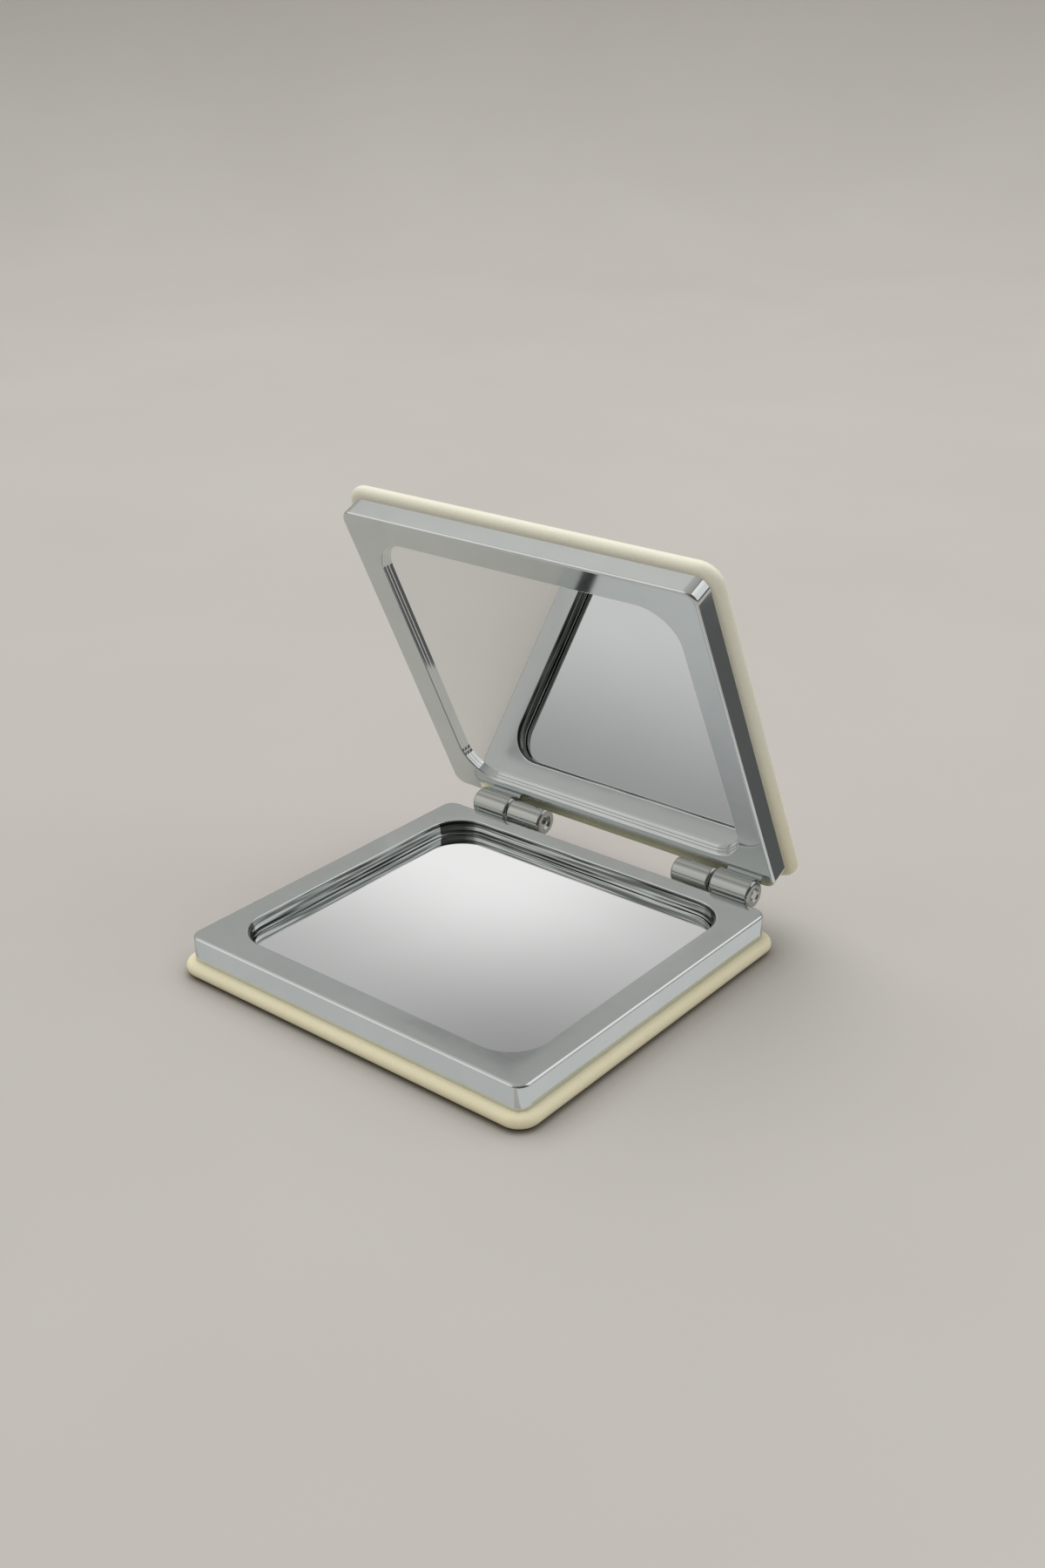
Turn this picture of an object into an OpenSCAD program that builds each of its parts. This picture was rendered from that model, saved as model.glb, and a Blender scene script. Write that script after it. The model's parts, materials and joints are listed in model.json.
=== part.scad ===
// Square pocket mirror: two framed mirrors joined by a hinge, each half with a padded cover.
// Millimetres. The origin is the centre of the lower cover's underside, +X runs along the
// hinge, +Y points from the front edge to the hinge, and +Z is up.
// Each half is drawn in its own half space: the face lies in z = 0 with the metal below it,
// and the hinge edge is on the +Y side.

/* [Frames] */
// Width of both frames, along the hinge
frame_w = 62; // [58:0.5:80]
// Depth of both frames, from the front edge to the hinge edge
frame_d = 57.4; // [48:0.2:76]
// Height of the lower frame, from its cover to its face
base_frame_h = 3.8; // [3.6:0.1:6]
// Height of the upper frame, from its cover to its face
lid_frame_h = 3.2; // [2.9:0.1:6]
// Radius of the frames' upright corners
frame_corner_r = 2; // [1:0.1:4]
// Radius that softens the outer rim of each face
face_edge_r = 0.45; // [0.1:0.05:0.5]

/* [Mirror openings] */
// Border beside the lower mirror, left and right
base_side_border = 4.2; // [3.6:0.1:8]
// Border in front of the lower mirror
base_front_border = 4.5; // [4.3:0.1:9]
// Border behind the lower mirror, at the hinge
base_hinge_border = 3.4; // [2.5:0.1:8]
// Border beside the upper mirror, left and right
lid_side_border = 4.5; // [3.6:0.1:8]
// Border at the free edge of the upper mirror
lid_front_border = 4.5; // [4.3:0.1:9]
// Border behind the upper mirror, at the hinge
lid_hinge_border = 4; // [2.5:0.1:8]
// Radius of the openings' corners at the face
opening_corner_r = 6; // [3:0.1:9]
// Radius that softens the inner rim of each face
rim_edge_r = 0.2; // [0.1:0.05:0.3]
// Height of the band between the face and the upper ledge
rim_band = 0.5; // [0.4:0.05:0.6]
// Height of the band between the lower ledge and the glass
lower_band = 0.45; // [0.2:0.05:0.6]
// Width of each of the two ledges in the wall of an opening
ledge_w = 0.25; // [0.1:0.05:0.5]

/* [Mirrors] */
// Thickness of both glasses
glass_t = 1; // [0.7:0.05:1.1]
// Depth of the lower glass below its face
base_glass_depth = 2.2; // [1.3:0.05:2.3]
// Depth of the upper glass below its face
lid_glass_depth = 1.35; // [1.3:0.05:1.5]
// Gap between the edge of a glass and the wall round it
glass_gap = 0.1; // [0.05:0.05:0.3]
// Radius that takes the sharpness off the front edge of a glass
glass_edge_r = 0.15; // [0.05:0.05:0.3]
// Thickness of the tape behind each glass
tape_t = 0.1; // [0.05:0.01:0.2]
// How far the tape stops short of the edge of its glass
tape_inset = 1.5; // [0.5:0.1:4]

/* [Covers] */
// Thickness of each padded cover
cover_t = 2.4; // [2.1:0.05:4]
// How far the rounded edge of a cover stands proud of its frame
cover_overhang = 1.4; // [1.25:0.05:2]
// Thickness of the leatherette
skin_t = 0.4; // [0.3:0.05:0.5]
// Thickness of the stiff board
board_t = 1; // [0.8:0.05:1.2]
// Distance from the edge of the frame to the cut edge of the turned-in hem
hem_w = 6; // [3:0.1:12]
// Radius of the corners of the window inside the hem
hem_corner_r = 2; // [1:0.1:4]
// Gap between the glue sheet and the hem round it
glue_gap = 0.1; // [0.05:0.05:0.5]

/* [Hinge] */
// Radius of the barrels
barrel_r = 2.2; // [2.1:0.05:2.8]
// Clearance between a barrel and the other frame's hinge edge
barrel_clearance = 0.64; // [0.3:0.01:0.8]
// Gap between the two faces when the mirror is shut
closed_gap = 0.3; // [0.2:0.05:0.8]
// Half the width of the window between the lid's barrels
window_half = 12.9; // [6:0.1:14]
// Length of each barrel of the lid
lid_barrel_l = 6.8; // [5:0.1:7.5]
// Length of each barrel of the base
base_barrel_l = 6.9; // [4:0.1:7.2]
// Gap between neighbouring barrels
barrel_gap = 0.2; // [0.1:0.05:0.5]
// Radius that softens the ends of the barrels
barrel_edge_r = 0.45; // [0.1:0.05:0.6]
// Distance from a face down to the webs that carry the barrels
web_drop = 0.6; // [0.4:0.05:0.7]
// Thickness of the webs
web_t = 1.3; // [1:0.05:1.4]
// Radius of the hinge pins
pin_r = 0.8; // [0.6:0.05:1]
// Radius that rounds the ends of the pins
pin_end_r = 0.2; // [0.1:0.05:0.3]
// Running clearance of a pin in the lid's barrel
pin_clearance = 0.05; // [0.02:0.01:0.1]
// How far a pin stops short of the window
pin_short = 1.6; // [0.5:0.1:2.4]
// How much wider the mouth of a bore is than the bore
mouth_flare = 0.35; // [0.1:0.05:0.45]
// Wall of the split sleeve that grips each pin
sleeve_t = 0.4; // [0.3:0.05:0.5]
// Length of the split sleeves
sleeve_l = 4; // [2.5:0.1:4.2]
// Width of the slit along each sleeve
sleeve_slit = 0.4; // [0.2:0.05:0.6]

/* [Closure] */
// Length of the hidden magnets
magnet_l = 14; // [8:0.5:20]
// Width of the hidden magnets
magnet_w = 2.4; // [2:0.1:2.6]
// Thickness of the hidden magnets
magnet_t = 1.6; // [1:0.1:2]
// Metal left between a magnet and the face
magnet_skin = 0.8; // [0.5:0.05:0.9]
// Metal left between a magnet's pocket and the front edge
magnet_wall = 0.7; // [0.5:0.05:0.8]
// Gap round the sides of a magnet in its pocket
magnet_gap = 0.1; // [0.05:0.05:0.2]

/* [Pose] */
// Angle between the two faces
lid_angle = 65; // [0:1:180]

/* [Hidden] */
$fn = 64;
// Extra length of a cut beyond the face that it opens
cut = 1;
// Least height of the straight stretch between two rounded edges
least_height = 0.01;
// Borders of an opening, in the order side, front, hinge
base_borders = [base_side_border, base_front_border, base_hinge_border];
lid_borders = [lid_side_border, lid_front_border, lid_hinge_border];
// Radius of the bullnose edge of a cover, and of the space inside its skin
bead_r = cover_t / 2;
pad_r = bead_r - skin_t;
// Place of the hinge axis in a half's own space
hinge_y = frame_d / 2 + barrel_r + barrel_clearance;
hinge_z = closed_gap / 2;
// Where the base's barrels start, measured from the middle
base_barrel_x = window_half + lid_barrel_l + barrel_gap;
// Height of the lower face above the ground
base_face_z = cover_t + base_frame_h;

chrome_grey = [0.66, 0.68, 0.67];
cream = [0.86, 0.84, 0.72];

// Flat outlines

// A rectangle about the middle with round corners, drawn as two bars and four discs
module rounded_area(w, d, r) {
    square([w - 2 * r, d], center = true);
    square([w, d - 2 * r], center = true);
    for (x = [-1, 1], y = [-1, 1])
        translate([x * (w / 2 - r), y * (d / 2 - r)])
            circle(r);
}

// The opening inside the given borders, drawn in by inset on every side
module opening_area(borders, inset) {
    translate([0, (borders[1] - borders[2]) / 2])
        rounded_area(
            frame_w - 2 * borders[0] - 2 * inset,
            frame_d - borders[1] - borders[2] - 2 * inset,
            opening_corner_r - inset);
}

// The window inside the hem, drawn in by inset on every side
module hem_window_area(inset) {
    rounded_area(frame_w - 2 * hem_w - 2 * inset, frame_d - 2 * hem_w - 2 * inset, hem_corner_r);
}

// Upright section of a slab, with its top and bottom edges rounded
module slab_section(half_w, bottom, top, top_r, bottom_r) {
    straight = top - top_r - bottom - bottom_r;
    if (straight > least_height) {
        translate([-half_w, bottom + bottom_r])
            square([2 * half_w, straight]);
        if (top_r > 0)
            round_edge_section(half_w, top - top_r, top_r, 0);
        if (bottom_r > 0)
            round_edge_section(half_w, bottom + bottom_r, bottom_r, -bottom_r);
    } else {
        bullnose_section(half_w, bottom, top);
    }
}

// Upright section of a slab whose edges are half round
module bullnose_section(half_w, bottom, top) {
    r = (top - bottom) / 2;
    translate([r - half_w, bottom])
        square([2 * (half_w - r), top - bottom]);
    for (side = [-1, 1])
        translate([side * (half_w - r), bottom + r])
            circle(r);
}

// The strip of a slab's section beside its rounded edges
module round_edge_section(half_w, level, r, strip_start) {
    translate([-(half_w - r), level + strip_start])
        square([2 * (half_w - r), r]);
    for (side = [-1, 1])
        translate([side * (half_w - r), level])
            circle(r);
}

// Solids that both halves share

// A slab about the middle with round corners and rounded top and bottom edges
module soft_slab(w, d, corner_r, bottom, top, top_r, bottom_r) {
    rotate([90, 0, 0])
        linear_extrude(d - 2 * corner_r, center = true)
            slab_section(w / 2, bottom, top, top_r, bottom_r);
    rotate([90, 0, 90])
        linear_extrude(w - 2 * corner_r, center = true)
            slab_section(d / 2, bottom, top, top_r, bottom_r);
    for (x = [-1, 1], y = [-1, 1])
        translate([x * (w / 2 - corner_r), y * (d / 2 - corner_r), 0])
            rotate_extrude()
                intersection() {
                    slab_section(corner_r, bottom, top, top_r, bottom_r);
                    translate([0, bottom])
                        square([corner_r, top - bottom]);
                }
}

// A closed round tube along a rectangle with round corners, at z = 0
module tube_frame(w, d, corner_r, tube_r) {
    for (side = [-1, 1]) {
        translate([side * w / 2, 0, 0])
            rotate([90, 0, 0])
                cylinder(d - 2 * corner_r, tube_r, tube_r, center = true);
        translate([0, side * d / 2, 0])
            rotate([0, 90, 0])
                cylinder(w - 2 * corner_r, tube_r, tube_r, center = true);
    }
    for (x = [-1, 1], y = [-1, 1])
        translate([x * (w / 2 - corner_r), y * (d / 2 - corner_r), 0])
            intersection() {
                rotate_extrude()
                    translate([corner_r, 0])
                        circle(tube_r);
                translate([min(x, 0) * 2 * corner_r, min(y, 0) * 2 * corner_r, -tube_r - cut])
                    cube([2 * corner_r, 2 * corner_r, 2 * (tube_r + cut)]);
            }
}

// Room cut out of a frame: the softened rim, two ledges and the seat of the glass
module opening_cut(borders, glass_depth) {
    w = frame_w - 2 * borders[0];
    d = frame_d - borders[1] - borders[2];
    difference() {
        translate([0, 0, -rim_edge_r])
            linear_extrude(rim_edge_r + cut)
                opening_area(borders, -rim_edge_r);
        translate([0, (borders[1] - borders[2]) / 2, -rim_edge_r])
            tube_frame(w + 2 * rim_edge_r, d + 2 * rim_edge_r, opening_corner_r + rim_edge_r, rim_edge_r);
    }
    translate([0, 0, -rim_band])
        linear_extrude(rim_band + cut)
            opening_area(borders, 0);
    translate([0, 0, lower_band - glass_depth])
        linear_extrude(glass_depth)
            opening_area(borders, ledge_w);
    translate([0, 0, -glass_depth - glass_t - tape_t])
        linear_extrude(glass_depth + glass_t + tape_t)
            opening_area(borders, 2 * ledge_w);
}

// Pocket in the underside of a frame for the magnet behind its front border
module magnet_pocket(height) {
    translate([0, magnet_y(), -height - cut])
        linear_extrude(height + cut - magnet_skin)
            square([magnet_l + 2 * magnet_gap, magnet_w + 2 * magnet_gap], center = true);
}

// Distance of the magnets' middle line from the middle of a half
function magnet_y() = magnet_wall + magnet_gap + magnet_w / 2 - frame_d / 2;

// Runs the children, drawn along +Z from the middle, out along the hinge axis on one side
module along_hinge(side) {
    translate([0, hinge_y, hinge_z])
        rotate([0, side * 90, 0])
            children();
}

// One barrel with softened ends and the web that carries it
module barrel(side, start, length) {
    along_hinge(side)
        translate([0, 0, start])
            rotate_extrude()
                intersection() {
                    slab_section(barrel_r, 0, length, barrel_edge_r, barrel_edge_r);
                    square([barrel_r, length]);
                }
    translate([
            side > 0 ? start + barrel_edge_r : barrel_edge_r - start - length,
            frame_d / 2 - frame_corner_r,
            -web_drop - web_t])
        cube([length - 2 * barrel_edge_r, hinge_y + frame_corner_r - frame_d / 2, web_t]);
}

// Room for a pin in a barrel, with a flared mouth at one end
module pin_bore(side, start, length, r, mouth_at_end) {
    along_hinge(side)
        translate([0, 0, start]) {
            translate([0, 0, -barrel_gap / 2])
                cylinder(length + barrel_gap, r, r);
            if (mouth_at_end)
                translate([0, 0, length - mouth_flare])
                    cylinder(mouth_flare + barrel_gap / 2, r, r + mouth_flare + barrel_gap / 2);
            else
                translate([0, 0, -barrel_gap / 2])
                    cylinder(mouth_flare + barrel_gap / 2, r + mouth_flare + barrel_gap / 2, r);
        }
}

// A frame without its barrels
module frame_body(height, borders, glass_depth) {
    difference() {
        soft_slab(frame_w, frame_d, frame_corner_r, -height, 0, face_edge_r, 0);
        opening_cut(borders, glass_depth);
        magnet_pocket(height);
    }
}

// The glass of one half, silvered behind
module mirror_glass(borders, glass_depth) {
    inset = 2 * ledge_w + glass_gap;
    translate([0, (borders[1] - borders[2]) / 2, 0])
        soft_slab(
            frame_w - 2 * borders[0] - 2 * inset,
            frame_d - borders[1] - borders[2] - 2 * inset,
            opening_corner_r - inset,
            -glass_depth - glass_t, -glass_depth, glass_edge_r, 0);
}

// The double-sided tape between a glass and the floor of its frame
module mirror_tape(borders, glass_depth) {
    translate([0, 0, -glass_depth - glass_t - tape_t])
        linear_extrude(tape_t)
            opening_area(borders, 2 * ledge_w + glass_gap + tape_inset);
}

// The bar magnet seated at the blind end of its pocket
module magnet() {
    translate([0, magnet_y(), -magnet_skin - magnet_t])
        linear_extrude(magnet_t)
            square([magnet_l, magnet_w], center = true);
}

// The leatherette, wrapped round the edge and turned in behind the frame
module cover_skin(height) {
    difference() {
        soft_slab(
            frame_w + 2 * cover_overhang, frame_d + 2 * cover_overhang, frame_corner_r + cover_overhang,
            -height - cover_t, -height, bead_r, bead_r);
        padding_space(height);
        translate([0, 0, -height - skin_t - pad_r])
            linear_extrude(skin_t + pad_r + cut)
                hem_window_area(0);
    }
}

// The space inside a cover's skin
module padding_space(height) {
    soft_slab(
        frame_w + 2 * cover_overhang - 2 * skin_t,
        frame_d + 2 * cover_overhang - 2 * skin_t,
        frame_corner_r + cover_overhang - skin_t,
        skin_t - height - cover_t, -height - skin_t, pad_r, pad_r);
}

// The board against the frame's side of the padding
module cover_board(height) {
    translate([0, 0, -height - skin_t - board_t])
        linear_extrude(board_t)
            board_area();
}

// Outline of the board, drawn in from the rounded edge of the padding
module board_area() {
    rounded_area(
        frame_w + 2 * (cover_overhang - bead_r),
        frame_d + 2 * (cover_overhang - bead_r),
        frame_corner_r + cover_overhang - bead_r);
}

// The foam behind the board, which rolls round its edge
module cover_foam(height) {
    difference() {
        padding_space(height);
        cover_board(height);
    }
}

// The glue sheet that fills the window inside the hem and bonds the board to the frame
module cover_glue(height) {
    translate([0, 0, -height - skin_t])
        linear_extrude(skin_t)
            hem_window_area(glue_gap);
}

// Lifts the children from the half's own space to the lower half's place
module in_base() {
    translate([0, 0, base_face_z])
        children();
}

// Turns the children over onto the lower half and opens them to the lid's angle
module in_lid() {
    translate([0, hinge_y, base_face_z + hinge_z])
        rotate([-lid_angle, 0, 0])
            mirror([0, 0, 1])
                translate([0, -hinge_y, -hinge_z])
                    children();
}

// Lower half

module base_frame() {
    color(chrome_grey)
        in_base()
            difference() {
                union() {
                    frame_body(base_frame_h, base_borders, base_glass_depth);
                    for (side = [-1, 1])
                        barrel(side, base_barrel_x, base_barrel_l);
                }
                for (side = [-1, 1])
                    pin_bore(side, base_barrel_x, base_barrel_l, pin_r, true);
            }
}

module base_mirror() {
    color([0.8, 0.8, 0.82])
        in_base()
            mirror_glass(base_borders, base_glass_depth);
}

module base_mirror_tape() {
    color("white")
        in_base()
            mirror_tape(base_borders, base_glass_depth);
}

module base_magnet() {
    color("dimgray")
        in_base()
            magnet();
}

module base_cover_glue() {
    color("ivory")
        in_base()
            cover_glue(base_frame_h);
}

module base_cover_board() {
    color("tan")
        in_base()
            cover_board(base_frame_h);
}

module base_cover_foam() {
    color("whitesmoke")
        in_base()
            cover_foam(base_frame_h);
}

module base_cover_skin() {
    color(cream)
        in_base()
            cover_skin(base_frame_h);
}

// Upper half

module lid_frame() {
    bore_r = pin_r + pin_clearance;
    color(chrome_grey)
        in_lid()
            difference() {
                union() {
                    frame_body(lid_frame_h, lid_borders, lid_glass_depth);
                    for (side = [-1, 1])
                        barrel(side, window_half, lid_barrel_l);
                }
                for (side = [-1, 1]) {
                    pin_bore(side, window_half, lid_barrel_l, bore_r, false);
                    along_hinge(side)
                        translate([0, 0, sleeve_start()])
                            cylinder(sleeve_l + barrel_gap, bore_r + sleeve_t, bore_r + sleeve_t);
                }
            }
}

module lid_mirror() {
    color([0.8, 0.8, 0.82])
        in_lid()
            mirror_glass(lid_borders, lid_glass_depth);
}

module lid_mirror_tape() {
    color("white")
        in_lid()
            mirror_tape(lid_borders, lid_glass_depth);
}

module lid_magnet() {
    color("dimgray")
        in_lid()
            magnet();
}

module lid_cover_glue() {
    color("ivory")
        in_lid()
            cover_glue(lid_frame_h);
}

module lid_cover_board() {
    color("tan")
        in_lid()
            cover_board(lid_frame_h);
}

module lid_cover_foam() {
    color("whitesmoke")
        in_lid()
            cover_foam(lid_frame_h);
}

module lid_cover_skin() {
    color(cream)
        in_lid()
            cover_skin(lid_frame_h);
}

// Hinge

// Where the sleeve starts, seated flush with the outer end of the lid's barrel
function sleeve_start() = window_half + lid_barrel_l - sleeve_l;

// A pin driven in from the outer end of the base's barrel and on through the lid's
module hinge_pin(side) {
    start = window_half + pin_short;
    length = base_barrel_x + base_barrel_l - start;
    in_base()
        along_hinge(side)
            translate([0, 0, start])
                rotate_extrude()
                    intersection() {
                        slab_section(pin_r, 0, length, pin_end_r, pin_end_r);
                        square([pin_r, length]);
                    }
}

// A split sleeve pressed into the lid's barrel, which grips the pin and holds the lid's angle
module hinge_sleeve(side) {
    bore_r = pin_r + pin_clearance;
    in_lid()
        along_hinge(side)
            translate([0, 0, sleeve_start()])
                linear_extrude(sleeve_l)
                    difference() {
                        circle(bore_r + sleeve_t);
                        circle(bore_r);
                        translate([0, -sleeve_slit / 2])
                            square([barrel_r, sleeve_slit]);
                    }
}

module hinge_pin_left() {
    color("silver")
        hinge_pin(-1);
}

module hinge_pin_right() {
    color("silver")
        hinge_pin(1);
}

module hinge_sleeve_left() {
    color("slategray")
        hinge_sleeve(-1);
}

module hinge_sleeve_right() {
    color("slategray")
        hinge_sleeve(1);
}

base_frame();
base_mirror();
base_mirror_tape();
base_magnet();
base_cover_glue();
base_cover_board();
base_cover_foam();
base_cover_skin();
lid_frame();
lid_mirror();
lid_mirror_tape();
lid_magnet();
lid_cover_glue();
lid_cover_board();
lid_cover_foam();
lid_cover_skin();
hinge_pin_left();
hinge_pin_right();
hinge_sleeve_left();
hinge_sleeve_right();
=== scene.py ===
"""Looks of the square pocket mirror: chromed frames, silvered glass and cream leatherette covers.

Everything is in metres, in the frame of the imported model. Sizes below are written in millimetres
and turned into metres by MM. Colours are linear red, green, blue and alpha.
"""
import json
import math

import bpy
import numpy as np
from mathutils import Matrix, Vector

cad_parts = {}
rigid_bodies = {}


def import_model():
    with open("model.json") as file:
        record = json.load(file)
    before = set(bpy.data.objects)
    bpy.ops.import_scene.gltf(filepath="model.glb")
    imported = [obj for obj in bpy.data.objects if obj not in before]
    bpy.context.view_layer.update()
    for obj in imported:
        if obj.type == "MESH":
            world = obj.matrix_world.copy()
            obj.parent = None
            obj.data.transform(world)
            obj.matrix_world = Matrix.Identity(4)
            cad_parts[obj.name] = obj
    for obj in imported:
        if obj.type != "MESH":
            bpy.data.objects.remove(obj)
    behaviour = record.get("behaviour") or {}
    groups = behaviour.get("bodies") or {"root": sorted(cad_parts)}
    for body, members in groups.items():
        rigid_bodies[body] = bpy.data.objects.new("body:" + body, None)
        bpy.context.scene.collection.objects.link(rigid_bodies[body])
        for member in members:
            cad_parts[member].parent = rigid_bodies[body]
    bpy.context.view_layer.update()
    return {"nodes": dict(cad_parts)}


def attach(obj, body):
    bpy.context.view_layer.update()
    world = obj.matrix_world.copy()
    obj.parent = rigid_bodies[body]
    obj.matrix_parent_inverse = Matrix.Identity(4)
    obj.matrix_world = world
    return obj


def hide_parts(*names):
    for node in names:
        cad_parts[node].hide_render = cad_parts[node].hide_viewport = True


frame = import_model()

MM = 0.001

# Sizes of the object
FRAME_W, FRAME_D = 62.0, 57.4
BASE_FRAME_H, LID_FRAME_H = 3.8, 3.2
COVER_T, OVERHANG, CORNER_R = 2.4, 1.4, 3.4
SKIN_T, BOARD_T = 0.4, 1.0
HEM_W, HEM_CORNER_R = 6.0, 2.0
GLASS_DEPTH, LID_GLASS_DEPTH = 2.2, 1.35
HINGE_Y, HINGE_Z, LID_ANGLE = 31.54, 0.15, 65.0
BASE_FACE_Z = COVER_T + BASE_FRAME_H
HINGE_AXIS = np.array([0, HINGE_Y, BASE_FACE_Z + HINGE_Z])

# How the covers are drawn: the rim is where the flat face meets the half-round edge, and the face
# falls by EDGE_FALL over the last FALL_REACH to the edge
BEAD_R = COVER_T / 2
RIM_W, RIM_D = FRAME_W / 2 + OVERHANG - BEAD_R, FRAME_D / 2 + OVERHANG - BEAD_R
RIM_C = CORNER_R - BEAD_R
EDGE_FALL, FALL_REACH = 0.14, 8.0
PLEAT_DEPTH, PLEAT_WAVES = 0.07, 7
PAD_GAP = 0.02

# Where the chrome's finish changes: the distances from the hinge axis over which the barrels'
# dullness and painted shade end, and the corners of the space in the base's opening, above its glass,
# where its walls get painted shade
BARREL_EDGE = 2.3, 2.6
WALL_SHADE_SPACE = (-27.2, -24.6, 3.9), (27.2, 25.7, 6.1)

# Colours: where a name holds two, the finish blends the first into the second
CHROME = (0.60, 0.635, 0.635, 1), (0.64, 0.67, 0.67, 1)
# A darker tint for the hinge's barrels: painted shade
CHROME_BARREL_SHADE = (0.40, 0.415, 0.40, 1)
# Dark streaked lines for the walls of the base's opening: painted shade
CHROME_WALL_SHADE = (0.12, 0.13, 0.125, 1), (0.50, 0.53, 0.52, 1)
SILVER = (0.875, 0.885, 0.885, 1), (0.895, 0.90, 0.905, 1)
# The cream blends with height into its paler colour: painted light on the higher parts
CREAM = (0.86, 0.79, 0.54, 1), (0.87, 0.85, 0.71, 1)
CREAM_MOTTLE = (0.90, 0.86, 0.70, 1)
# A darker tint for the grain's creases: painted shade
CREAM_CREASE_SHADE = (0.62, 0.59, 0.44, 1)
PIN_STEEL = (0.60, 0.60, 0.58, 1), (0.72, 0.72, 0.70, 1)
SLEEVE_STEEL = (0.34, 0.35, 0.36, 1), (0.46, 0.47, 0.48, 1)
TAPE_WHITE = (0.74, 0.74, 0.72, 1), (0.84, 0.84, 0.82, 1)
NICKEL = (0.50, 0.49, 0.46, 1), (0.60, 0.59, 0.56, 1)
GLUE_YELLOW = (0.70, 0.64, 0.44, 1), (0.80, 0.76, 0.60, 1)
BOARD_GREY = (0.36, 0.33, 0.28, 1), (0.50, 0.46, 0.40, 1)
BOARD_FLECK = (0.20, 0.18, 0.15, 1)
FOAM_CREAM = (0.62, 0.58, 0.46, 1), (0.82, 0.79, 0.68, 1)
TABLE_TOP = (0.488, 0.466, 0.438, 1), (0.505, 0.483, 0.455, 1)
# The table's colour under a painted contact shadow
TABLE_CONTACT_SHADOW = (0.12, 0.105, 0.085, 1)
CARD_WHITE = (1, 0.995, 0.985, 1)

# The camera, in degrees and metres, and the studio, in millimetres
AZIMUTH, ELEVATION, ROLL, DISTANCE = 39.409, 24.933, -0.575, 0.25319
AIM = np.array([-0.000541, 0.010562, 0.024493])
CONTACT_REACH = 5.0
CARD_LIFT, CARD_STEPS = 0.3, 60


# Places of the two halves
def on_base(points):
    """A half's own space (face at z = 0, metal below) lifted to the lower half's place."""
    return points + np.array([0, 0, BASE_FACE_Z])


def on_lid(points):
    """A half's own space turned over about the hinge axis and opened to the lid's angle."""
    a = math.radians(LID_ANGLE)
    y = points[:, 1] - HINGE_Y
    z = HINGE_Z - points[:, 2]
    out = points.copy()
    out[:, 1] = HINGE_AXIS[1] + y * math.cos(a) + z * math.sin(a)
    out[:, 2] = HINGE_AXIS[2] - y * math.sin(a) + z * math.cos(a)
    return out


# Mesh making
def smooth(t):
    """0 below 0, 1 above 1, and an S curve between them."""
    t = np.clip(t, 0, 1)
    return t * t * (3 - 2 * t)


def new_piece(name, points, faces):
    """A mesh object at the origin, from points in metres and lists of corners."""
    mesh = bpy.data.meshes.new(name)
    mesh.from_pydata(points.tolist(), [], faces)
    piece = bpy.data.objects.new(name, mesh)
    bpy.context.scene.collection.objects.link(piece)
    return piece


def sheet_mesh(name, points):
    """Quads over a grid of points [v, u, 3] in metres."""
    n_v, n_u = points.shape[:2]
    v = np.arange(n_v - 1)[:, None] * n_u
    u = np.arange(n_u - 1)[None, :]
    quads = np.stack([v + u, v + u + 1, v + n_u + u + 1, v + n_u + u], -1).reshape(-1, 4)
    return new_piece(name, points.reshape(-1, 3), quads.tolist())


def ring_grid(half_w, half_d, corner_r, level, arc=24, side=14):
    """A profile carried round a rectangle with round corners.

    Step v of the profile is a rectangle of half sizes half_w[v] and half_d[v], with corners of
    radius corner_r[v], at height level[v]. Along u each corner is an arc of a quarter turn about
    its own centre, and the straight sides join one arc's end to the next arc's start.
    Returns the points as an array [v, u, 3] and the corner angle of each u, or nan on a side.
    """
    turns = np.linspace(0, math.pi / 2, arc + 1)
    steps = np.linspace(0, 1, side + 2)[1:-1]
    signs = np.array([[1, 1], [-1, 1], [-1, -1], [1, -1]])
    arcs = []
    for k, (sx, sy) in enumerate(signs):
        angle = turns + k * math.pi / 2
        cx = sx * (half_w - corner_r)[:, None]
        cy = sy * (half_d - corner_r)[:, None]
        arcs.append(np.stack([cx + corner_r[:, None] * np.cos(angle),
                              cy + corner_r[:, None] * np.sin(angle)], -1))
    rows, angles = [], []
    for k in range(4):
        a, b = arcs[k], arcs[(k + 1) % 4]
        rows += [a, a[:, -1:] + (b[:, :1] - a[:, -1:]) * steps[None, :, None]]
        angles += [turns, np.full(len(steps), np.nan)]
    flat = np.concatenate(rows, 1)
    z = np.repeat(level[:, None, None], flat.shape[1], 1)
    return np.concatenate([flat, z], 2), np.concatenate(angles)


def closed_shell(name, grid, place):
    """Quads between the rings of a grid [v, u, 3], closed round u, with one point at each end.

    The first and last rings are drawn in to their middle points, which are the two poles. The
    lid's place mirrors a half, so there the corners are listed the other way to keep the outer
    sides out.
    """
    n_v, n_u = grid.shape[:2]
    body = grid[1:-1].reshape(-1, 3)
    points = np.concatenate([grid[0].mean(0)[None], body, grid[-1].mean(0)[None]])
    v = np.arange(n_v - 3)[:, None] * n_u
    u = np.arange(n_u)[None, :]
    right = (u + 1) % n_u
    quads = 1 + np.stack([v + u, v + right, v + n_u + right, v + n_u + u], -1).reshape(-1, 4)
    last = 1 + (n_v - 3) * n_u
    end = len(points) - 1
    ring = np.arange(n_u)
    after = (ring + 1) % n_u
    first_fan = np.stack([np.zeros(n_u, int), 1 + after, 1 + ring], -1)
    last_fan = np.stack([last + ring, last + after, np.full(n_u, end)], -1)
    faces = quads.tolist() + first_fan.tolist() + last_fan.tolist()
    if place is on_lid:
        faces = [face[::-1] for face in faces]
    piece = new_piece(name, place(points) * MM, faces)
    piece.data.shade_smooth()
    return piece


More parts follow.
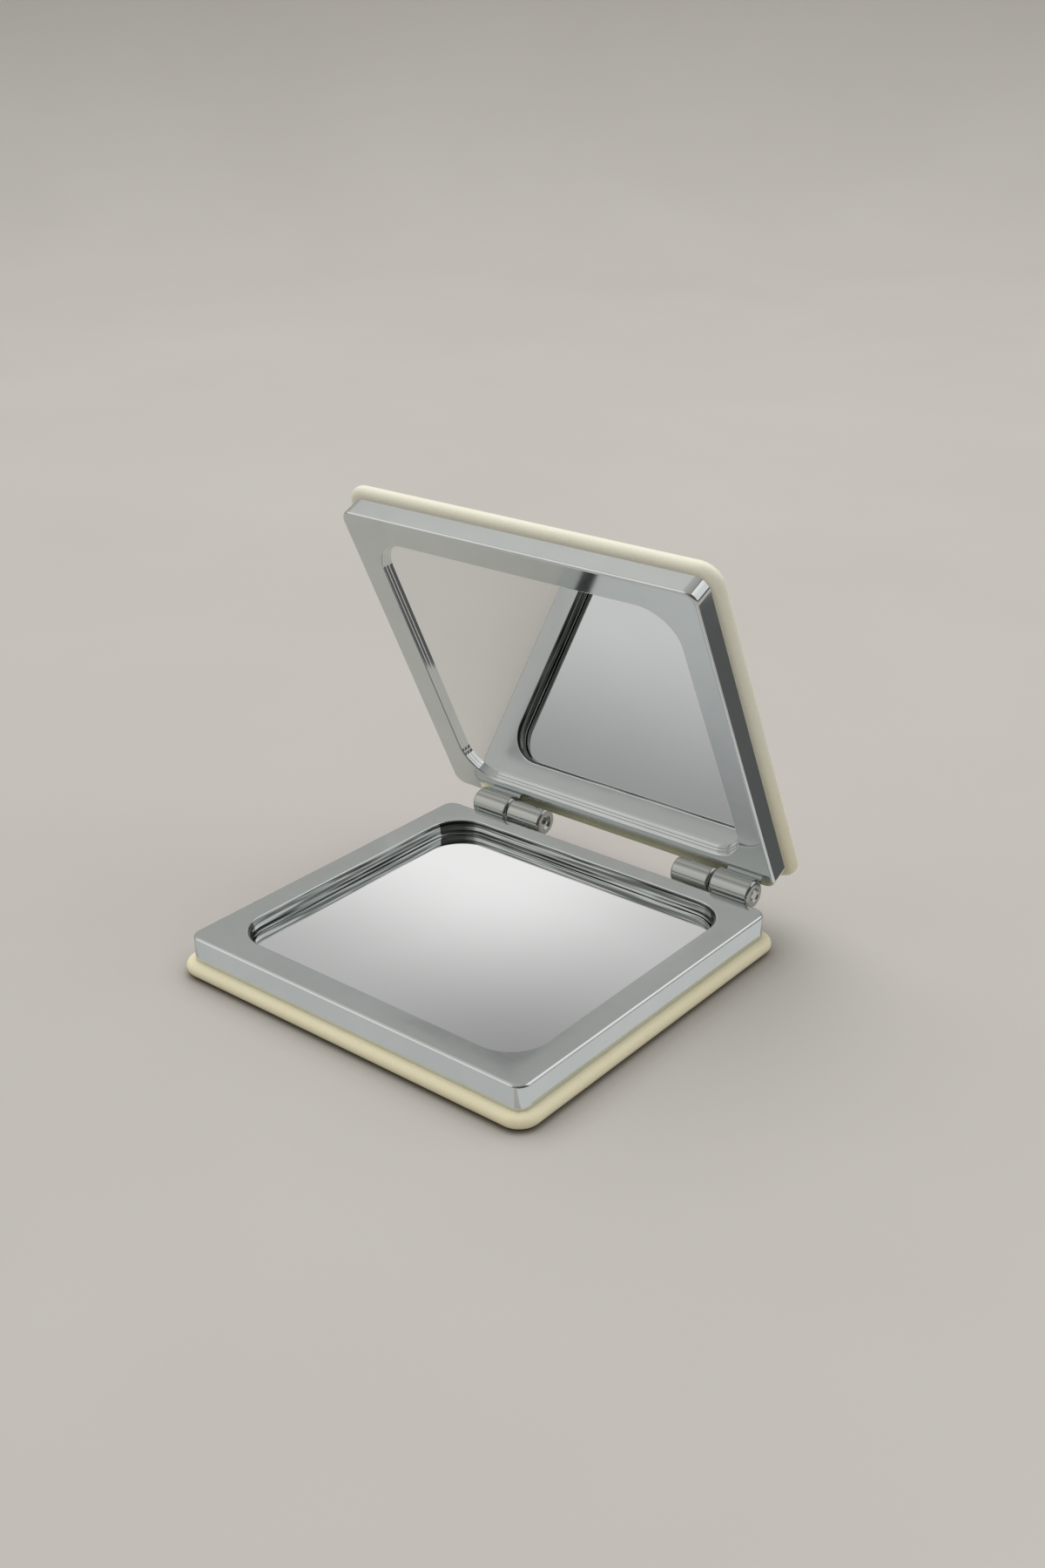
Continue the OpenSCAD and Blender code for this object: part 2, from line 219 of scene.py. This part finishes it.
def fall_to_edge(grid, frame_h):
    """How far each point of a cover sinks, as padding does towards its edge.

    That is EDGE_FALL times an S curve that rises over the last FALL_REACH to the edge, times an
    S curve over the cover's thickness, from 0 at the metal to 1 at the outer face.
    """
    x, y, z = grid[..., 0], grid[..., 1], grid[..., 2]
    reach = np.minimum(RIM_W + BEAD_R - np.abs(x), RIM_D + BEAD_R - np.abs(y))
    low = smooth((-frame_h - z) / COVER_T)
    return EDGE_FALL * (1 - smooth(reach / FALL_REACH)) * low


def wrapped_cover(name, frame_h, place):
    """Leatherette drawn over the padding, round its edge and turned in behind the frame.

    The profile starts at the middle of the outer face, runs out to the half-round edge, goes
    round it by half a turn, runs in along the hem to its cut edge, and comes back inside at the
    leatherette's thickness. The outer face sinks a little towards the edge. The hem is gathered
    in small pleats round each corner: the cube of a sine's size, times a squared sine that is 0
    at the corner's ends, and growing along the profile from the edge's inner part to the hem.
    """
    turn = np.linspace(-math.pi / 2, math.pi / 2, 25)
    face = np.linspace(0, 1, 26)[:-1] ** 0.7
    hem = np.linspace(0, 1, 14)[1:]
    hem_w, hem_d = FRAME_W / 2 - HEM_W, FRAME_D / 2 - HEM_W

    def half_profile(r, bottom, top):
        curl = r * np.cos(turn)
        w = np.concatenate([face * RIM_W, RIM_W + curl, RIM_W + (hem_w - RIM_W) * hem])
        d = np.concatenate([face * RIM_D, RIM_D + curl, RIM_D + (hem_d - RIM_D) * hem])
        c = np.concatenate([face * RIM_C, RIM_C + curl, RIM_C + (HEM_CORNER_R - CORNER_R + BEAD_R) * hem])
        z = np.concatenate([np.full(len(face), bottom), (bottom + top) / 2 + r * np.sin(turn),
                            np.full(len(hem), top)])
        return w, d, c, z

    outer = half_profile(BEAD_R, -frame_h - COVER_T, -frame_h)
    inner = half_profile(BEAD_R - SKIN_T, -frame_h - COVER_T + SKIN_T, -frame_h - SKIN_T)
    w, d, c, z = (np.concatenate([a, b[::-1]]) for a, b in zip(outer, inner))
    grid, corner = ring_grid(w, d, c, z)
    grid[..., 2] += fall_to_edge(grid, frame_h)
    turned = np.nan_to_num(corner)
    fold = np.where(np.isnan(corner), 0, np.sin(turned * 2) ** 2)
    pleat = np.abs(np.sin(turned * PLEAT_WAVES)) ** 3
    step = np.arange(len(z))
    pleat_start, pleat_rise = len(face) + 15, 8
    on_hem = np.where(step < len(outer[0]), smooth((step - pleat_start) / pleat_rise), 0)
    grid[..., 2] -= PLEAT_DEPTH * (fold * pleat)[None, :] * on_hem[:, None]
    return closed_shell(name, grid, place)


def foam_pad(name, frame_h, place):
    """The soft pad inside a cover, with the seat of the board in it.

    The profile starts at the middle of the outer face, runs out, goes round the half-round edge,
    drops down the board's edge and runs in along the board's seat. It stays PAD_GAP inside the
    leatherette, and its outer face falls to the edge as the cover's does.
    """
    turn = np.linspace(-math.pi / 2, math.pi / 2, 17)
    face = np.linspace(0, 1, 12)[:-1]
    r = BEAD_R - SKIN_T - PAD_GAP
    bottom, top = -frame_h - COVER_T + SKIN_T + PAD_GAP, -frame_h - SKIN_T - PAD_GAP
    board_middle, seat = -frame_h - SKIN_T - BOARD_T / 2, -frame_h - SKIN_T - BOARD_T - PAD_GAP

    def section(rim):
        return np.concatenate([face * rim, rim + r * np.cos(turn), np.full(2, rim + PAD_GAP), face[::-1] * rim])

    z = np.concatenate([np.full(len(face), bottom), (bottom + top) / 2 + r * np.sin(turn),
                        [board_middle, seat], np.full(len(face), seat)])
    grid, _ = ring_grid(section(RIM_W), section(RIM_D), section(RIM_C), z)
    below_seat = grid[..., 2] < seat - 0.1
    grid[..., 2] += fall_to_edge(grid, frame_h) * below_seat
    return closed_shell(name, grid, place)


# Finishes
class Finish:
    """One procedural finish: a node tree with short ways to add a node and join it to others."""

    def __init__(self, name):
        self.material = bpy.data.materials.new(name)
        self.material.use_nodes = True
        self.tree = self.material.node_tree
        self.shader = self.tree.nodes["Principled BSDF"]
        self.place = self.add("ShaderNodeTexCoord").outputs["Object"]

    def add(self, kind, sockets=None, **settings):
        """A new node, with its own settings and what goes into its sockets."""
        made = self.tree.nodes.new(kind)
        for key, value in settings.items():
            setattr(made, key, value)
        for key, value in (sockets or {}).items():
            self.put(made.inputs[key], value)
        return made

    def put(self, socket, value):
        """Joins a socket to another node's output, or sets its value."""
        if isinstance(value, bpy.types.NodeSocket):
            self.tree.links.new(value, socket)
        else:
            socket.default_value = value

    def calc(self, operation, *values, kind="ShaderNodeMath"):
        """The result of a Math node, or of a node that kind names."""
        return self.add(kind, dict(enumerate(values)), operation=operation).outputs[0]

    def stretched(self, scale=(1, 1, 1), turn=(0, 0, 0)):
        """Object coordinates in millimetres, turned and stretched by scale."""
        return self.add("ShaderNodeMapping", {"Vector": self.place, "Rotation": turn,
                                              "Scale": [s / MM for s in scale]}).outputs["Vector"]

    def noise(self, size, detail=3.0, rough=0.55, scale=(1, 1, 1), turn=(0, 0, 0), warp=0.0):
        """Noise whose features are about size millimetres across."""
        return self.add("ShaderNodeTexNoise",
                        {"Vector": self.stretched(scale, turn), "Scale": 1 / size, "Detail": detail,
                         "Roughness": rough, "Distortion": warp}).outputs["Fac"]

    def cells(self, size, **settings):
        """Distances in a pattern of cells about size millimetres across."""
        return self.add("ShaderNodeTexVoronoi", {"Vector": self.stretched(), "Scale": 1 / size},
                        **settings).outputs["Distance"]

    def between(self, value, low, high, start=0.0, end=1.0):
        """Value mapped from low..high to start..end, and held at the ends."""
        return self.add("ShaderNodeMapRange", {"Value": value, "From Min": low, "From Max": high,
                                               "To Min": start, "To Max": end}).outputs["Result"]

    def blend(self, amount, a, b):
        """Colour a where amount is 0, and b where it is 1."""
        return self.add("ShaderNodeMixRGB", {"Fac": amount, "Color1": a, "Color2": b}).outputs["Color"]

    def sum(self, *parts):
        """Values times their weights, added up."""
        total = None
        for value, weight in parts:
            term = self.calc("MULTIPLY", value, weight)
            total = term if total is None else self.calc("ADD", total, term)
        return total

    def inside(self, low, high, soft):
        """1 in a box of Object coordinates, given in millimetres, and 0 outside, over soft at its sides.

        The distance from the box's middle along each axis, less half the box's size, is below 0
        inside, and the largest of the three is the one that counts.
        """
        low, high = np.array(low), np.array(high)
        vector = {"kind": "ShaderNodeVectorMath"}
        away = self.calc("SUBTRACT", self.stretched(), (low + high) / 2, **vector)
        away = self.calc("SUBTRACT", self.calc("ABSOLUTE", away, **vector), (high - low) / 2, **vector)
        x, y, z = self.add("ShaderNodeSeparateXYZ", {"Vector": away}).outputs
        most = self.calc("MAXIMUM", self.calc("MAXIMUM", x, y), z)
        return self.between(most, -soft, 0.0, 1.0, 0.0)

    def relief(self, height, depth, under=None):
        """Bump of depth millimetres for a height from 0 to 1."""
        made = self.add("ShaderNodeBump", {"Height": height, "Strength": 1.0, "Distance": depth * MM})
        if under is not None:
            self.put(made.inputs["Normal"], under)
        return made.outputs["Normal"]

    def finish(self, **sockets):
        """The material, once the shader's sockets are set; _ stands for the space in their names."""
        for key, value in sockets.items():
            self.put(self.shader.inputs[key.replace("_", " ")], value)
        return self.material


def polished_chrome():
    """Bright plating with a slow ripple from the casting, faint smudges and hairline wipe marks.

    It is duller on the hinge's barrels, round the hinge axis, and tinted darker there as painted
    shade; the steep walls of the base's opening get painted shade, dark in streaked lines along them.
    """
    f = Finish("polished_chrome")
    smudge = f.noise(9, 3, 0.55, warp=0.6)
    wipe = f.noise(0.5, 2, scale=(0.05, 1, 1), turn=(0, 0, 0.5))
    tint = f.blend(f.between(smudge, 0.35, 0.7), *CHROME)
    # Painted shade: the chrome is tinted darker on the barrels, round the hinge axis, and is also rougher there
    off_axis = f.add("ShaderNodeVectorMath", {0: f.stretched((0, 1, 1)), 1: HINGE_AXIS},
                     operation="DISTANCE").outputs["Value"]
    barrel_dull_and_shade = f.between(off_axis, *BARREL_EDGE, 1.0, 0.0)
    tint = f.blend(barrel_dull_and_shade, tint, CHROME_BARREL_SHADE)
    # Painted shade: the walls of the base's opening are tinted dark in streaked lines
    wall_shade_streak = f.noise(0.3, 2, 0.6, scale=(0.02, 0.02, 1))
    lines = f.blend(f.between(wall_shade_streak, 0.45, 0.62), *CHROME_WALL_SHADE)
    tint = f.blend(f.inside(*WALL_SHADE_SPACE, 0.05), tint, lines)
    rough = f.sum((f.between(smudge, 0.4, 0.75, 0.05, 0.09), 1.0),
                  (f.between(wipe, 0.6, 0.8, 0.0, 0.03), 1.0), (barrel_dull_and_shade, 0.06))
    return f.finish(Base_Color=tint, Metallic=1.0, Roughness=rough, Normal=f.relief(f.noise(7, 1, 0.4), 0.008))


def silvered_glass():
    """Silver behind clear glass, with a breath of haze and a few specks of dust."""
    f = Finish("silvered_glass")
    haze = f.noise(16, 2, 0.5, warp=0.4)
    dust = f.noise(0.45, 1, 0.5)
    tint = f.blend(f.between(haze, 0.3, 0.75), *SILVER)
    rough = f.sum((f.between(haze, 0.45, 0.8, 0.0, 0.015), 1.0), (f.between(dust, 0.80, 0.86, 0.0, 0.12), 1.0))
    return f.finish(Base_Color=tint, Metallic=1.0, Roughness=rough)


def cream_leatherette():
    """Soft cream covering: pebbled grain, pores and a faint mottling, with painted shade in the grain's creases,
    and painted light that makes it paler higher up, towards the lid's top.
    """
    f = Finish("cream_leatherette")
    mottle = f.noise(7, 4, 0.6, warp=0.5)
    pores = f.noise(0.22, 2)
    pebbles = f.cells(0.55, feature="DISTANCE_TO_EDGE")
    grain = f.sum((f.between(pebbles, 0.0, 0.22), 0.6), (pores, 0.4))
    # Painted light: the tint grows paler with height, towards the lid's top
    height = f.add("ShaderNodeSeparateXYZ", {"Vector": f.stretched()}).outputs["Z"]
    painted_top_light = f.between(f.sum((height, 1.0), (mottle, 8.0)), 8, 40)
    tint = f.blend(painted_top_light, *CREAM)
    tint = f.blend(f.between(mottle, 0.3, 0.75, 0.0, 0.3), tint, CREAM_MOTTLE)
    # Painted shade: the grain's creases are tinted darker
    tint = f.blend(f.between(pebbles, 0.0, 0.10, 0.16, 0.0), tint, CREAM_CREASE_SHADE)
    rough = f.between(f.sum((mottle, 0.6), (grain, 0.4)), 0.3, 0.7, 0.44, 0.34)
    soft = f.relief(f.noise(4, 2), 0.03)
    return f.finish(Base_Color=tint, Roughness=rough, Normal=f.relief(grain, 0.008, soft))


def drawn_steel(name, steel):
    """Pin or sleeve steel: fine lines along its length and rubbed patches."""
    f = Finish(name)
    lines = f.noise(0.3, 2, scale=(0.06, 1, 1))
    rubbed = f.noise(1.8, 3)
    tint = f.blend(f.between(rubbed, 0.35, 0.7), *steel)
    rough = f.sum((f.between(rubbed, 0.3, 0.7, 0.16, 0.3), 1.0), (lines, 0.08))
    return f.finish(Base_Color=tint, Metallic=1.0, Roughness=rough, Normal=f.relief(lines, 0.002))


def foam_tape():
    """White double-sided tape: a soft foam with a closed, slightly tacky skin."""
    f = Finish("foam_tape")
    cells = f.noise(0.3, 3)
    tint = f.blend(f.between(cells, 0.35, 0.7), *TAPE_WHITE)
    rough = f.between(cells, 0.3, 0.7, 0.35, 0.55)
    return f.finish(Base_Color=tint, Roughness=rough, Normal=f.relief(cells, 0.01))


def plated_magnet():
    """Nickel on a pressed magnet: warm grey, with faint pits."""
    f = Finish("plated_magnet")
    pits = f.noise(0.5, 4)
    tint = f.blend(f.between(pits, 0.35, 0.7), *NICKEL)
    rough = f.between(pits, 0.3, 0.7, 0.2, 0.36)
    return f.finish(Base_Color=tint, Metallic=1.0, Roughness=rough, Normal=f.relief(pits, 0.006))


def glue_film():
    """A pale yellow glue sheet with trapped bubbles."""
    f = Finish("glue_film")
    bubbles = f.noise(1.1, 3, 0.6)
    tint = f.blend(f.between(bubbles, 0.4, 0.7), *GLUE_YELLOW)
    rough = f.between(bubbles, 0.35, 0.7, 0.22, 0.42)
    return f.finish(Base_Color=tint, Roughness=rough, Normal=f.relief(bubbles, 0.02))


def grey_board():
    """Pressed grey board with short fibres and darker flecks."""
    f = Finish("grey_board")
    fibres = f.noise(0.5, 4, 0.65, scale=(0.3, 1, 1), turn=(0, 0, 0.4))
    flecks = f.noise(0.9, 2)
    tint = f.blend(f.between(fibres, 0.35, 0.7), *BOARD_GREY)
    tint = f.blend(f.between(flecks, 0.66, 0.74), tint, BOARD_FLECK)
    rough = f.between(fibres, 0.3, 0.7, 0.8, 0.95)
    return f.finish(Base_Color=tint, Roughness=rough, Normal=f.relief(fibres, 0.03))


def soft_foam():
    """Open-celled off-white foam."""
    f = Finish("soft_foam")
    cells = f.cells(0.4)
    tint = f.blend(f.between(cells, 0.1, 0.7), *FOAM_CREAM)
    rough = f.between(cells, 0.1, 0.7, 0.95, 0.8)
    return f.finish(Base_Color=tint, Roughness=rough, Normal=f.relief(cells, 0.08))


FINISHES = {
    "chrome": polished_chrome(),
    "mirror": silvered_glass(),
    "tape": foam_tape(),
    "magnet": plated_magnet(),
    "glue_sheet": glue_film(),
    "board": grey_board(),
    "foam": soft_foam(),
    "leatherette": cream_leatherette(),
    "pin_steel": drawn_steel("pin_steel", PIN_STEEL),
    "sleeve_steel": drawn_steel("sleeve_steel", SLEEVE_STEEL),
}
NODE_FINISH = {
    "base_frame": "chrome", "lid_frame": "chrome", "base_mirror": "mirror", "lid_mirror": "mirror",
    "base_mirror_tape": "tape", "lid_mirror_tape": "tape", "base_magnet": "magnet", "lid_magnet": "magnet",
    "base_cover_glue": "glue_sheet", "lid_cover_glue": "glue_sheet", "base_cover_board": "board",
    "lid_cover_board": "board", "hinge_pin_left": "pin_steel", "hinge_pin_right": "pin_steel",
    "hinge_sleeve_left": "sleeve_steel", "hinge_sleeve_right": "sleeve_steel",
}
for node_name, finish_name in NODE_FINISH.items():
    for material_slot in frame["nodes"][node_name].material_slots:
        material_slot.material = FINISHES[finish_name]


# The covers
def dress_half(body, frame_h, place):
    """The modelled cover and pad of one half, riding on that half."""
    cover = wrapped_cover(body + "_cover", frame_h, place)
    cover.data.materials.append(FINISHES["leatherette"])
    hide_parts(body + "_cover_skin")
    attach(cover, body)
    pad = foam_pad(body + "_cover_pad", frame_h, place)
    pad.data.materials.append(FINISHES["foam"])
    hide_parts(body + "_cover_foam")
    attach(pad, body)


dress_half("base", BASE_FRAME_H, on_base)
dress_half("lid", LID_FRAME_H, on_lid)


# Table, studio cards, light and camera
def view_axes():
    """The camera's right, up and back directions for the azimuth, elevation and roll above."""
    az, el, roll = (math.radians(a) for a in (AZIMUTH, ELEVATION, ROLL))
    back = np.array([math.sin(az) * math.cos(el), -math.cos(az) * math.cos(el), math.sin(el)])
    level = np.array([math.cos(az), math.sin(az), 0])
    rise = np.cross(back, level)
    right = math.cos(roll) * level + math.sin(roll) * rise
    return right, np.cross(back, right), back


def pale_table():
    """Table top that sweeps up into a low backdrop behind the mirror, as seen from the camera.

    Its section runs straight along the ground, bends up by a quarter circle and goes on straight
    up. It is carried sideways, across the view. Its sizes are in metres. Its colour is darkened
    within CONTACT_REACH of what stands on it, as a painted contact shadow.
    """
    near_end, flat_end, bend_r, wall_top, half_width = -2.0, 0.62, 0.18, 0.21, 2.2
    turn = np.linspace(0, math.pi / 2, 33)
    away = np.concatenate([np.linspace(near_end, flat_end, 12)[:-1], flat_end + bend_r * np.sin(turn),
                           [flat_end + bend_r]])
    up = np.concatenate([np.zeros(11), bend_r * (1 - np.cos(turn)), [wall_top]])
    across = np.linspace(-half_width, half_width, 9)
    az = math.radians(AZIMUTH)
    away_dir = np.array([-math.sin(az), math.cos(az), 0])
    across_dir = np.array([math.cos(az), math.sin(az), 0])
    points = (away[:, None, None] * away_dir + across[None, :, None] * across_dir
              + up[:, None, None] * np.array([0, 0, 1.0]))
    table = sheet_mesh("table_sweep", points)
    table.data.shade_smooth()
    f = Finish("pale_table_top")
    cloud = f.noise(90, 3)
    tint = f.blend(f.between(cloud, 0.35, 0.7), *TABLE_TOP)
    # Painted contact shadow: the table's colour is darkened where ambient occlusion finds something close above it
    open_sky = f.add("ShaderNodeAmbientOcclusion", {"Distance": CONTACT_REACH * MM}, samples=8).outputs["AO"]
    tint = f.blend(open_sky, TABLE_CONTACT_SHADOW, tint)
    table.data.materials.append(f.finish(Base_Color=tint, Roughness=0.75, Normal=f.relief(f.noise(1.5, 3), 0.02)))


def glow_only(piece, glow):
    """Makes a sheet a studio card: it glows by glow on its front, and only mirrors show it.

    Its back is clear, so nothing behind it is hidden from the other side.
    """
    spread = piece.data.attributes.new("glow", "FLOAT", "POINT")
    spread.data.foreach_set("value", np.broadcast_to(glow, len(piece.data.vertices)).astype(np.float32))
    f = Finish(piece.name + "_glow")
    f.tree.nodes.remove(f.shader)
    level = f.add("ShaderNodeAttribute", attribute_name="glow").outputs["Fac"]
    shine = f.add("ShaderNodeEmission", {"Color": CARD_WHITE, "Strength": level}).outputs[0]
    clear = f.add("ShaderNodeBsdfTransparent").outputs[0]
    turned = f.add("ShaderNodeNewGeometry").outputs["Backfacing"]
    both = f.add("ShaderNodeMixShader", {"Fac": turned, 1: shine, 2: clear}).outputs[0]
    f.tree.links.new(both, f.tree.nodes["Material Output"].inputs["Surface"])
    piece.data.materials.append(f.material)
    for rays in ("camera", "diffuse", "transmission", "shadow", "volume_scatter"):
        setattr(piece, "visible_" + rays, False)


def mirrored_eye(glass_z, by_the_lid):
    """The camera's place in millimetres, turned over in the lower glass, which lies at glass_z.

    With by_the_lid it is turned over in the lid's glass first: that is, moved through the glass's
    plane by twice its distance from it.
    """
    eye = (AIM + view_axes()[2] * DISTANCE) / MM
    if by_the_lid:
        a = math.radians(LID_ANGLE)
        facing = np.array([0, math.sin(a), math.cos(a)])
        eye = eye - 2 * ((eye - HINGE_AXIS) @ facing - HINGE_Z - LID_GLASS_DEPTH) * facing
    eye[2] = 2 * glass_z - eye[2]
    return eye


def far_card(name, x_span, y_span, through, normal, glow, by_the_lid=False):
    """A studio card well away from the mirror, which the lower glass reflects.

    It is laid out on the lower glass: each point of a grid on the glass is carried along the
    camera's ray, as the glass reflects it, to the card's plane, which passes through a point in
    millimetres and is square to normal. With by_the_lid, that ray comes to the lower glass by way
    of the lid's, so the card is what the lid's mirror shows of the lower one. glow gives the
    card's glow from the place on the glass. Its front is to the mirror.
    """
    glass_z = BASE_FACE_Z - GLASS_DEPTH
    eye = mirrored_eye(glass_z, by_the_lid)
    x, y = np.meshgrid(np.linspace(*x_span, CARD_STEPS), np.linspace(*y_span, CARD_STEPS), indexing="ij")
    away = np.stack([x, y, np.full_like(x, glass_z)], -1) - eye
    normal = np.array(normal, float)
    reach = ((np.array(through, float) - eye) @ normal) / (away @ normal)
    glow_only(sheet_mesh(name, (eye + reach[..., None] * away) * MM), glow(x, y).ravel())


def dimmer_to_front_and_right(x, y):
    """From 0.90 at the back to 0.48 at the front, and less by up to 37% towards the right."""
    return (0.48 + 0.42 * smooth((y + 26) / 42)) * (1 - 0.37 * smooth((x + 10) / 40))


def dimmer_to_back(x, y):
    """From 0.68 in the front half to 0.36 at the back."""
    return 0.68 - 0.32 * smooth((y + 6) / 34)


def table_card(name, x, y, glow):
    """A card flat on the table over the spans x and y, in millimetres, for the side walls to reflect."""
    x, y = np.meshgrid(np.array(x[::-1]), np.array(y), indexing="ij")
    glow_only(sheet_mesh(name, np.stack([x, y, np.full_like(x, CARD_LIFT)], -1) * MM), glow)


def keep_lid_out_of_mirrors():
    """Hides the lid's pieces from mirror rays, so that the lower glass shows the studio alone."""
    for piece in bpy.data.objects:
        if piece.name.startswith("lid_"):
            piece.visible_glossy = False


def softbox(name, place, width, height, radiance, mirrored=True):
    """A soft white rectangular light that looks at the origin, with its place and sizes in metres.

    Its power is radiance times pi times its area. Mirrors show it only where mirrored is true.
    """
    light = bpy.data.lights.new(name, "AREA")
    light.shape, light.size, light.size_y = "RECTANGLE", width, height
    light.energy = radiance * math.pi * width * height
    lamp = bpy.data.objects.new(name, light)
    lamp.location = place
    lamp.rotation_euler = (-Vector(place)).to_track_quat("-Z", "Y").to_euler()
    lamp.visible_glossy = mirrored
    bpy.context.scene.collection.objects.link(lamp)


def room_light(bright_side, stops, panel_side, panel_stops):
    """Light from all round, even in every direction round two axes.

    A ramp over the cosine of the angle from bright_side gives the tent's own light, and a second
    ramp over the cosine from panel_side adds the light of a fill panel. Each ramp is given as
    pairs of a cosine and a level, and its light is a little warm.
    """
    world = bpy.data.worlds.new("studio")
    bpy.context.scene.world = world
    world.use_nodes = True
    tree = world.node_tree
    sky = tree.nodes["Background"]
    place = tree.nodes.new("ShaderNodeTexCoord")

    def cone(axis, levels):
        facing = tree.nodes.new("ShaderNodeVectorMath")
        facing.operation = "DOT_PRODUCT"
        facing.inputs[1].default_value = Vector(axis).normalized()
        spread = tree.nodes.new("ShaderNodeMapRange")
        spread.inputs["From Min"].default_value = -1.0
        ramp = tree.nodes.new("ShaderNodeValToRGB")
        ramp.color_ramp.interpolation = "EASE"
        knots = ramp.color_ramp.elements
        knots[0].position, knots[1].position = (0.5 + 0.5 * levels[k][0] for k in (0, -1))
        for cosine, _ in levels[1:-1]:
            knots.new(0.5 + 0.5 * cosine)
        for knot, (cosine, level) in zip(sorted(knots, key=lambda k: k.position), levels):
            knot.color = (level, 0.98 * level, 0.94 * level, 1)
        tree.links.new(place.outputs["Generated"], facing.inputs[0])
        tree.links.new(facing.outputs["Value"], spread.inputs["Value"])
        tree.links.new(spread.outputs["Result"], ramp.inputs["Fac"])
        return ramp.outputs["Color"]

    both = tree.nodes.new("ShaderNodeMixRGB")
    both.blend_type = "ADD"
    both.inputs["Fac"].default_value = 1.0
    tree.links.new(cone(bright_side, stops), both.inputs["Color1"])
    tree.links.new(cone(panel_side, panel_stops), both.inputs["Color2"])
    tree.links.new(both.outputs["Color"], sky.inputs["Color"])


def photo_camera():
    """A 40 mm lens on a 36 mm sensor, DISTANCE away from AIM."""
    right, up, back = view_axes()
    lens = bpy.data.cameras.new("photo_camera")
    lens.sensor_width, lens.lens = 36.0, 40.0
    lens.clip_start, lens.clip_end = 0.01, 20.0
    camera = bpy.data.objects.new("photo_camera", lens)
    spot = AIM + back * DISTANCE
    camera.matrix_world = Matrix([[right[i], up[i], back[i], spot[i]] for i in range(3)] + [[0, 0, 0, 1]])
    bpy.context.scene.collection.objects.link(camera)
    return camera


pale_table()
far_card("reflector_card", (-24.2, 26.6), (-25.5, 22.0), (0, 350, 200), (0, 1, 0.4), dimmer_to_front_and_right)
far_card("second_card", (-27.0, 27.0), (-25.5, 25.5), (0, 0, 300), (0, 0, 1), dimmer_to_back, by_the_lid=True)
keep_lid_out_of_mirrors()
table_card("dark_card", (33.0, 130.0), (44.0, 170.0), 0.12)
table_card("right_card", (33.5, 62.0), (-40.0, 44.0), 0.70)
table_card("front_card", (-60.0, 30.0), (-60.0, -31.5), 0.62)
room_light((-0.576, 0.128, 0.807), ((-1.0, 0.08), (0.0, 0.10), (0.5, 0.34), (0.8, 0.48), (0.96, 0.54), (1.0, 0.78)),
           (-0.58, -0.72, 0.36), ((0.45, 0.0), (0.80, 0.10), (0.97, 0.60)))
softbox("key_softbox", (-0.36, 0.16, 1.12), 1.3, 1.3, 1.9, mirrored=False)
softbox("fill_softbox", (0.62, 0.72, 0.68), 1.2, 1.2, 0.80)
softbox("side_softbox", (1.0, -0.35, 0.50), 0.9, 0.9, 0.95, mirrored=False)
bpy.context.scene.camera = photo_camera()
bpy.context.scene.view_settings.view_transform = "Standard"

bpy.context.view_layer.update()
